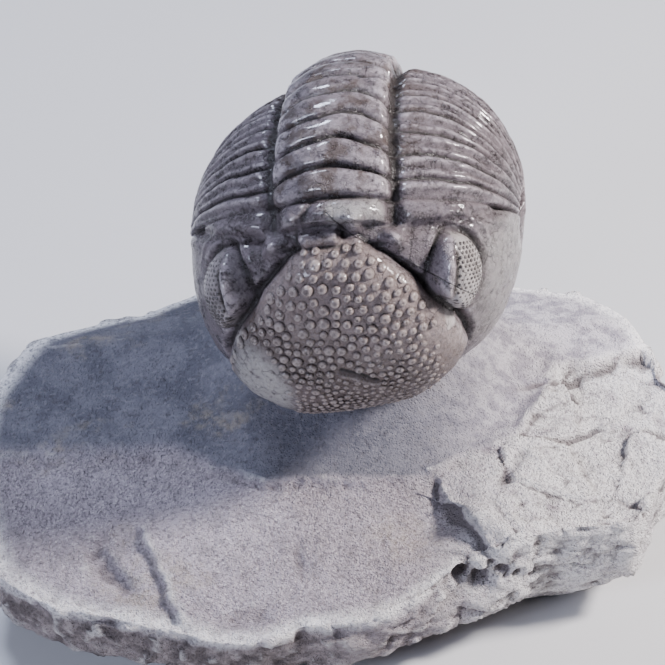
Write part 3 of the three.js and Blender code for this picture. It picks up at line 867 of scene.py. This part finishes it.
# %% Tubercle mesh
FOOT_DARKENING = 0.15

size = random.uniform(0.34, 0.46, len(spots)) * room
steepness = along([(-24, 0.55), (-12, 0.7), (0, 0.95)], spots[:, 1])
rise = size * random.uniform(0.72, 1.1, len(spots)) * steepness
tubercles, tips, plan_x, plan_y = pimples("tubercles", spots, size, rise, segments=12, rings=8,
                                          bluntness=2.4, pit=0.6, material=SHELL)
flat = np.zeros(len(tips))
mark_shell(tubercles, flat, flat, plan_x, plan_y)
# Painted highlight ring on each tip, and painted shade in the pit.
in_pit = smoothstep(0.7, 1.0, tips)
point_attribute(tubercles, "tip", smoothstep(0.05, 0.5, tips) * (1 - 0.8 * in_pit))
point_attribute(tubercles, "crest", 0.35 * smoothstep(0.0, 0.3, tips) - 0.16 - 0.24 * in_pit)
tubercle_finder = kdtree.KDTree(len(spots))
for index, (x, y) in enumerate(spots):
    tubercle_finder.insert((x, y, 0), index)
tubercle_finder.balance()
# Painted shade on the skin round the tubercles' feet.
foot_shade = np.zeros(len(body_crest))
near_glabella = np.flatnonzero((glabella_inset(body_x, body_y) > 0) & (body_turn < THORAX_START))
for vertex in near_glabella:
    _, index, away = tubercle_finder.find((body_x[vertex], body_y[vertex], 0))
    foot_shade[vertex] = FOOT_DARKENING * smoothstep(1.55, 0.95, away / size[index])
point_attribute(body_piece, "crest", body_crest - foot_shade)
point_attribute(tubercles, "eye", flat)
print("points darkened round the tubercles", np.count_nonzero(foot_shade))

# %% [markdown]
# ## Eye lenses
# Each eye looks out through rows of separate round lenses, set like beads in a pale net. They are placed in
# staggered rows round the kidney-shaped eye, as dark glossy domes of their own material.

# %% Lens material and mesh
LENS_PITCH = 0.72
LENS_RADIUS = 0.27
LENS_RISE = 0.17
LENS_DARK, LENS_BROWN = (0.035, 0.03, 0.03, 1), (0.10, 0.085, 0.08, 1)


def lens_material():
    material, tree, surface, place = new_material("eye_lens")
    tone = patches(tree, place, 0.8, 0.35, 0.65)
    tree.links.new(mix(tree, tone, LENS_DARK, LENS_BROWN), surface.inputs["Base Color"])
    tree.links.new(spread(tree, tone, 0, 1, 0.2, 0.38), surface.inputs["Roughness"])
    bump(tree, surface, grain(tree, place, 2.0, 9.0, 0.3)["Height"], 0.02)
    return material


def lens_places():
    spots = []
    for row, back in enumerate(np.arange(-8, 8, STAGGER * LENS_PITCH)):
        for outward in np.arange(-1, 7, LENS_PITCH):
            spots.append((back, outward + LENS_PITCH / 2 * (row % 2)))
    back, outward = np.array(spots).T
    bearing = math.radians(EYE_BEARING)
    x = EYE_CENTRE[0] + outward * math.cos(bearing) + back * math.sin(bearing)
    y = EYE_CENTRE[1] - outward * math.sin(bearing) + back * math.cos(bearing)
    seeing = (outward > 0.75 - 0.03 * back ** 2) & (eye_reach(x, y) < EYE_FOOT - 0.5) & (back < 6)
    seeing = seeing & (glabella_inset(x, y) < -1.2)
    return np.stack([x, y], axis=-1)[seeing]


right_eye = lens_places()
both_eyes = np.concatenate([right_eye, right_eye * (-1, 1)])
count = len(both_eyes)
pimples("eye_lenses", both_eyes, np.full(count, LENS_RADIUS), np.full(count, LENS_RISE), segments=8, rings=6,
        bluntness=2.0, pit=0, material=lens_material())

# %% [markdown]
# ## The stone
# The block is a lump of limestone with a prepared, hollowed zone round the fossil, two broken facets in
# front and rough sides that undercut to a flat base. Its upper surface is a height over the base, worked
# out as the lowest of a few planes, which gives the crisp creases where one break meets the next. A swelling
# under the ball carries the fossil, and a shallow moat in front of it is where the scribe went deepest.

# %% Shape of the stone
STONE_RIM = [
    (49.2, 7.5), (39, 27), (27, 30.5), (15, 38.5), (3, 42.2), (-9, 39.5), (-22, 29.5), (-31, 23.5),
    (-47, 17), (-54.5, 4), (-55, -14), (-51, -28.8), (-42.7, -34.8), (-33.9, -37.4), (-25.5, -39.3),
    (-13.5, -42.2), (-5.3, -39.4), (8, -37.2), (17.7, -30.2), (33.6, -25.2), (44.4, -23.2),
    (48.7, -12.7), (54.6, 0),
]
BASE_SCALE = 0.74
CONTACT_LEVEL = 31.6
SWELLING_RADIUS = 15.5
CREASE = [(-60, -13), (-28, -15.5), (-14, -22), (10, -22.5), (24, -14), (30, 0), (60, 12)]
CREASE_SOFTNESS = [(-50, 2.8), (-24, 1.8), (-10, 0.7)]
CREASE_LIP = [(-45, 0.25), (-22, 0.4), (-8, 0.85)]


def stone_top(x, y):
    from_x, from_y = x - BODY_CENTRE.x, y - BODY_CENTRE.y
    left_fall = 0.13 * np.maximum(0, -from_x - 20)
    right_fall = 0.08 * np.maximum(0, from_x - 20)
    shelf = 25.4 + 0.11 * from_y - left_fall - right_fall
    back_slope = 26.4 - 0.32 * (from_y - 8) - left_fall
    front_left = 21.2 + 0.256 * (from_y + 15.3) + 0.114 * (from_x + 37)
    ledge = 2.2 * smoothstep(-1, 2.5, from_x - 9.6 + from_y + 23)
    front_middle = 23 + 0.388 * (from_y + 23) + 0.03 * from_x + ledge
    level = np.minimum(np.minimum(shelf, back_slope), np.minimum(front_left, front_middle))
    reach = np.hypot(from_x / 1.06, from_y - 1.5) - SWELLING_RADIUS
    flank = CONTACT_LEVEL - level
    inside = flank + 0.05 * np.minimum(reach, 0) ** 2
    outside = flank * np.exp(-((np.maximum(reach, 0) / 5.2) ** 1.4))
    swelling = np.where(reach < 0, inside, outside)
    moat = 1.1 * bell(reach - 8, 3.4) * smoothstep(6, -10, from_y)
    return level + np.maximum(swelling, 0) - moat


def behind_crease(x, y):
    return y - BODY_CENTRE.y - along(CREASE, x - BODY_CENTRE.x)


def scribed_zone(x, y):
    return smoothstep(-1, 1, behind_crease(x, y) / along(CREASE_SOFTNESS, x))


def crease_lip(x, y):
    behind = behind_crease(x, y)
    return along(CREASE_LIP, x) * bell(np.minimum(behind, 0), 0.9) * bell(np.maximum(behind, 0), 3.5)


def rim_reach(angle):
    table = [(math.atan2(y, x), math.hypot(x, y)) for x, y in STONE_RIM]
    table.sort()
    (first, first_reach), (last, last_reach) = table[0], table[-1]
    table = [(last - 2 * math.pi, last_reach)] + table + [(first + 2 * math.pi, first_reach)]
    return along(table, angle)


print("stone under the fossil", stone_top(BODY_CENTRE.x, BODY_CENTRE.y).round(1), "mm high")

# %% [markdown]
# ## Scars of this one block
# Gouges are short rounded troughs, steps are ledges with one sharp side that run out softly on the other,
# and vugs are small deep holes in the front edge. Each list says where they lie, and noise sways their lines,
# because a straight scar looks drawn.

# %% Gouges, steps and vugs
# x, y, heading in degrees, length, width, depth
GOUGES = [
    (-35.5, -28, 118, 3.4, 1.7, 1.1), (-32.5, -31.5, 130, 2.6, 1.2, 0.8), (14.2, -21.5, 40, 6.5, 4.2, 2.6),
    (-6, -30, 100, 3.0, 0.8, 0.5), (26, -14, 60, 4.5, 1.0, 0.9), (36, -6, 35, 5.5, 0.9, 1.0),
    (33, 4, 20, 5.0, 0.7, 0.8), (-14, -38, 15, 4.0, 1.2, 0.8),
]
# from x, y to x, y, height, run-out
STEPS = [
    (13.0, -15.5, 24.5, -31, 2.0, 7.0), (-30.5, -22, -23.5, -40, 1.0, 11.0), (28, -8, 44, -3, 0.9, 5.0),
]
# x, y, z, radius, depth
VUGS = [
    (18.5, -30.5, 16.5, 1.5, 2.4), (21.2, -30.2, 15.0, 1.9, 3.0), (24.3, -29.4, 16.0, 1.3, 2.0),
    (22.4, -29.2, 17.8, 1.0, 1.6), (26.8, -28.6, 14.6, 0.9, 1.4), (41, -10, 21, 0.9, 1.2),
    (38, 6, 22, 0.8, 1.2),
]


def scars(points):
    x, y = points[:, 0], points[:, 1]
    depth = np.zeros(len(points))
    sway = 1.2 * fractal(points, 4.0, 3)
    for at_x, at_y, heading, length, width, deep in GOUGES:
        way = math.radians(heading)
        lengthwise = (x - at_x) * math.cos(way) + (y - at_y) * math.sin(way) + sway
        sideways = (y - at_y) * math.cos(way) - (x - at_x) * math.sin(way)
        depth -= deep * np.exp(-(np.abs(lengthwise / length) ** 3) - np.abs(sideways / width) ** 3)
    for ax, ay, bx, by, height, run_out in STEPS:
        length = math.hypot(bx - ax, by - ay)
        lengthwise = ((x - ax) * (bx - ax) + (y - ay) * (by - ay)) / length
        aside = ((x - ax) * (ay - by) + (y - ay) * (bx - ax)) / length + sway
        fade = smoothstep(-2, 3, lengthwise) * smoothstep(length + 3, length - 2, lengthwise)
        depth += height * fade * smoothstep(-0.4, 0.5, aside) * np.exp(-np.maximum(aside, 0) / run_out)
    return depth


def vug_depth(points):
    depth = np.zeros(len(points))
    for vug_x, vug_y, vug_z, radius, deep in VUGS:
        away = np.linalg.norm(points - (vug_x, vug_y, vug_z), axis=1) / radius
        depth = np.maximum(depth, deep * np.exp(-(away ** 3)))
    return depth


print("scars", len(GOUGES), "gouges", len(STEPS), "steps", len(VUGS), "vugs")

# %% [markdown]
# ## Modelling the stone
# Another UV sphere, this time with its poles at the top and the base: its upper half is spread over the
# top surface, the band round its equator becomes the broken sides, and the lower rows close the flat base.

# %% Stone block without its breaks
STONE_SPOKES = 430
STONE_ROWS = 224
TOP_SHARE = 0.66
SIDE_SHARE = 0.9
SIDE_STOPS = [0, 0.25, 0.5, 0.72, 0.97, 1]
SIDE_LEVELS = [1, 0.72, 0.42, 0.27, 0.03, 0]
SIDE_FLARE = [1, 1.005, 0.985, 0.93, BASE_SCALE + 0.02, BASE_SCALE]


def stone_point(angle, share):
    reach = rim_reach(angle)
    chip = 0.02 * np.sin(5 * angle + 1) + 0.015 * np.sin(11 * angle)
    out = np.interp(share, [0, TOP_SHARE], [0, 1])
    rim = stone_top(np.cos(angle) * reach, np.sin(angle) * reach)
    top = stone_top(np.cos(angle) * reach * out, np.sin(angle) * reach * out)
    down = np.clip((share - TOP_SHARE) / (SIDE_SHARE - TOP_SHARE), 0, 1)
    level = np.interp(down, SIDE_STOPS, SIDE_LEVELS)
    flare = np.interp(down, SIDE_STOPS, SIDE_FLARE) + chip * np.sin(np.pi * down)
    base = np.interp(share, [SIDE_SHARE, 1], [1, 0])
    on_side = share > TOP_SHARE
    scale = np.where(on_side, flare * np.where(share > SIDE_SHARE, base, 1), out)
    height = np.where(on_side, rim * level, top)
    return np.stack([np.cos(angle) * reach * scale, np.sin(angle) * reach * scale, height], axis=-1)


stone = bmesh.new()
bmesh.ops.create_uvsphere(stone, u_segments=STONE_SPOKES, v_segments=STONE_ROWS, radius=1)
unit = read_points(stone)
angle = np.arctan2(unit[:, 1], unit[:, 0])
share = np.degrees(np.arccos(np.clip(unit[:, 2], -1, 1))) / 180
points = stone_point(angle, share)
write_points(stone, points)
bmesh.ops.recalc_face_normals(stone, faces=stone.faces)
stone.normal_update()
outward = np.array([vertex.normal[:] for vertex in stone.verts])
print("stone faces", len(stone.faces))

# %% [markdown]
# ## Breaking the stone
# Each fracture cell gets a tilted plane of its own, which looks far more like broken stone than plain noise
# does. Large and small cells are strong on the sides and on the right, and almost gone on the front facets,
# and the scribed zone keeps only a faint swell. The base stays flat.

# %% Fractures pushed into the stone
SWAY = 1.6


def fracture(points, size):
    heights = []
    for point in points:
        place = Vector(point) / size
        centre = noise.voronoi(place)[1][0]
        tilt = noise.cell_vector(centre * 9.7) - Vector((0.5, 0.5, 0.5))
        heights.append((place - centre).dot(tilt) * 1.6 + 0.5 * noise.cell(centre * 5.3))
    return np.array(heights)


waves = fractal(points, 9.0)
prepared = scribed_zone(points[:, 0], points[:, 1] + SWAY * waves) * (share < TOP_SHARE)
rough = 1 - prepared
on_top = smoothstep(TOP_SHARE + 0.01, TOP_SHARE - 0.03, share)
base = smoothstep(SIDE_SHARE - 0.01, SIDE_SHARE - 0.05, share)
right = smoothstep(14, 34, points[:, 0])
large, small = fracture(points, 9.0), fracture(points + 31, 3.6)
lumps = large * blend(0.9, 0.2 + 1.1 * right, on_top) + small * blend(0.6, 0.1 + 0.3 * right, on_top)
grit = fractal(points, 1.7, 3)
broken = lumps + 0.3 * waves + blend(0.3, 0.17, on_top) * grit - 0.45 * on_top
lip = crease_lip(points[:, 0], points[:, 1] + SWAY * waves) * on_top
marks = scars(points) * on_top - vug_depth(points)
push = (rough * broken + prepared * (0.22 * waves + 0.05 * grit) + lip + marks) * base
points = points + outward * push[:, None]
points[:, 2] = np.maximum(points[:, 2], 0)
write_points(stone, points)
print("pushed from", push.min().round(2), "to", push.max().round(2), "mm")

# %% [markdown]
# ## The stone as a piece
# The block takes the place of the plain solid, with the attributes that its material reads: where it was
# prepared, how much painted light makes it paler there toward the right, which faces are old, and where
# blows have bruised it white.

# %% Stone piece and its masks
stone_piece = finish_piece("limestone_block", stone, LIMESTONE)
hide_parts("matrix_stone")
point_attribute(stone_piece, "crest", crest_height(stone_piece, 8))
point_attribute(stone_piece, "prepared", prepared)
# Painted light: the scribed zone turns paler toward the right, where the key light falls.
point_attribute(stone_piece, "painted_light_paler", smoothstep(6, 34, points[:, 0]))
fresher = 0.85 * smoothstep(-12, 26, points[:, 0])
old_face = smoothstep(TOP_SHARE + 0.01, TOP_SHARE + 0.03, share) * (1 - fresher)
point_attribute(stone_piece, "old_face", old_face)
below_rim = TOP_SHARE + 0.03 + 0.08 * right
rim_band = smoothstep(TOP_SHARE - 0.05, TOP_SHARE - 0.01, share) * smoothstep(below_rim, TOP_SHARE, share)
right_side = smoothstep(8, 32, points[:, 0]) * rough
point_attribute(stone_piece, "bruise", np.maximum(rim_band, right_side))
print("share of the stone that was prepared", prepared.mean().round(2))

# %% [markdown]
# ## Floor
# The floor is plain and pale, a little uneven in tone so that it does not read as a void.

# %% Floor
FLOOR_DARK, FLOOR_PALE = (0.52, 0.52, 0.53, 1), (0.55, 0.55, 0.555, 1)

floor_mesh = bpy.data.meshes.new("floor")
floor_shape = bmesh.new()
bmesh.ops.create_grid(floor_shape, x_segments=1, y_segments=1, size=3)
floor_shape.to_mesh(floor_mesh)
floor_shape.free()
floor = put("floor", floor_mesh)
floor_material, floor_tree, floor_surface, floor_place = new_material("pale_floor")
tone = patches(floor_tree, floor_place, 0.004, 0.3, 0.7)
floor_tree.links.new(mix(floor_tree, tone, FLOOR_DARK, FLOOR_PALE), floor_surface.inputs["Base Color"])
floor_surface.inputs["Roughness"].default_value = 0.8
floor_mesh.materials.append(floor_material)
print("floor", [round(side, 1) for side in floor.dimensions], "m")

# %% [markdown]
# ## Lights and camera
# A small warm key from the right draws the relief. A cool fill from the front left and a cool light from
# behind lift the shadows. The camera looks 40 degrees down through a long lens, which keeps the
# proportions flat.

# %% Lights and camera
VIEW_HEIGHT = 40
VIEW_DISTANCE = 0.8
VIEW_WIDTH = 0.09975
LOOK_AT = Vector((-1.1, -3.4, 40.6)) * MM


def aim(thing, place, target):
    thing.location = place
    thing.rotation_euler = (target - place).to_track_quat("-Z", "Y").to_euler()


def area_light(name, place, size, power, colour):
    data = bpy.data.lights.new(name, "AREA")
    data.shape = "DISK"
    data.size = size
    data.energy = power
    data.color = colour
    aim(put(name, data), Vector(place), LOOK_AT)


area_light("key", (0.29, 0.0, 0.27), 0.07, 3.9, (1.0, 0.94, 0.93))
area_light("fill", (-0.30, -0.36, 0.28), 0.16, 2.1, (0.72, 0.78, 1.0))
area_light("back", (-0.22, 0.26, 0.44), 0.14, 3.0, (0.70, 0.78, 1.0))

world = bpy.data.worlds.new("studio")
world.use_nodes = True
background = world.node_tree.nodes["Background"]
background.inputs["Color"].default_value = (0.8, 0.86, 1.0, 1)
background.inputs["Strength"].default_value = 0.07
bpy.context.scene.world = world

camera_data = bpy.data.cameras.new("camera")
camera_data.angle = 2 * math.atan(VIEW_WIDTH / 2 / VIEW_DISTANCE)
camera = put("camera", camera_data)
tilt = math.radians(VIEW_HEIGHT)
aim(camera, LOOK_AT + Vector((0, -math.cos(tilt), math.sin(tilt))) * VIEW_DISTANCE, LOOK_AT)
bpy.context.scene.camera = camera
print("camera sees", round(math.degrees(camera_data.angle), 1), "degrees")
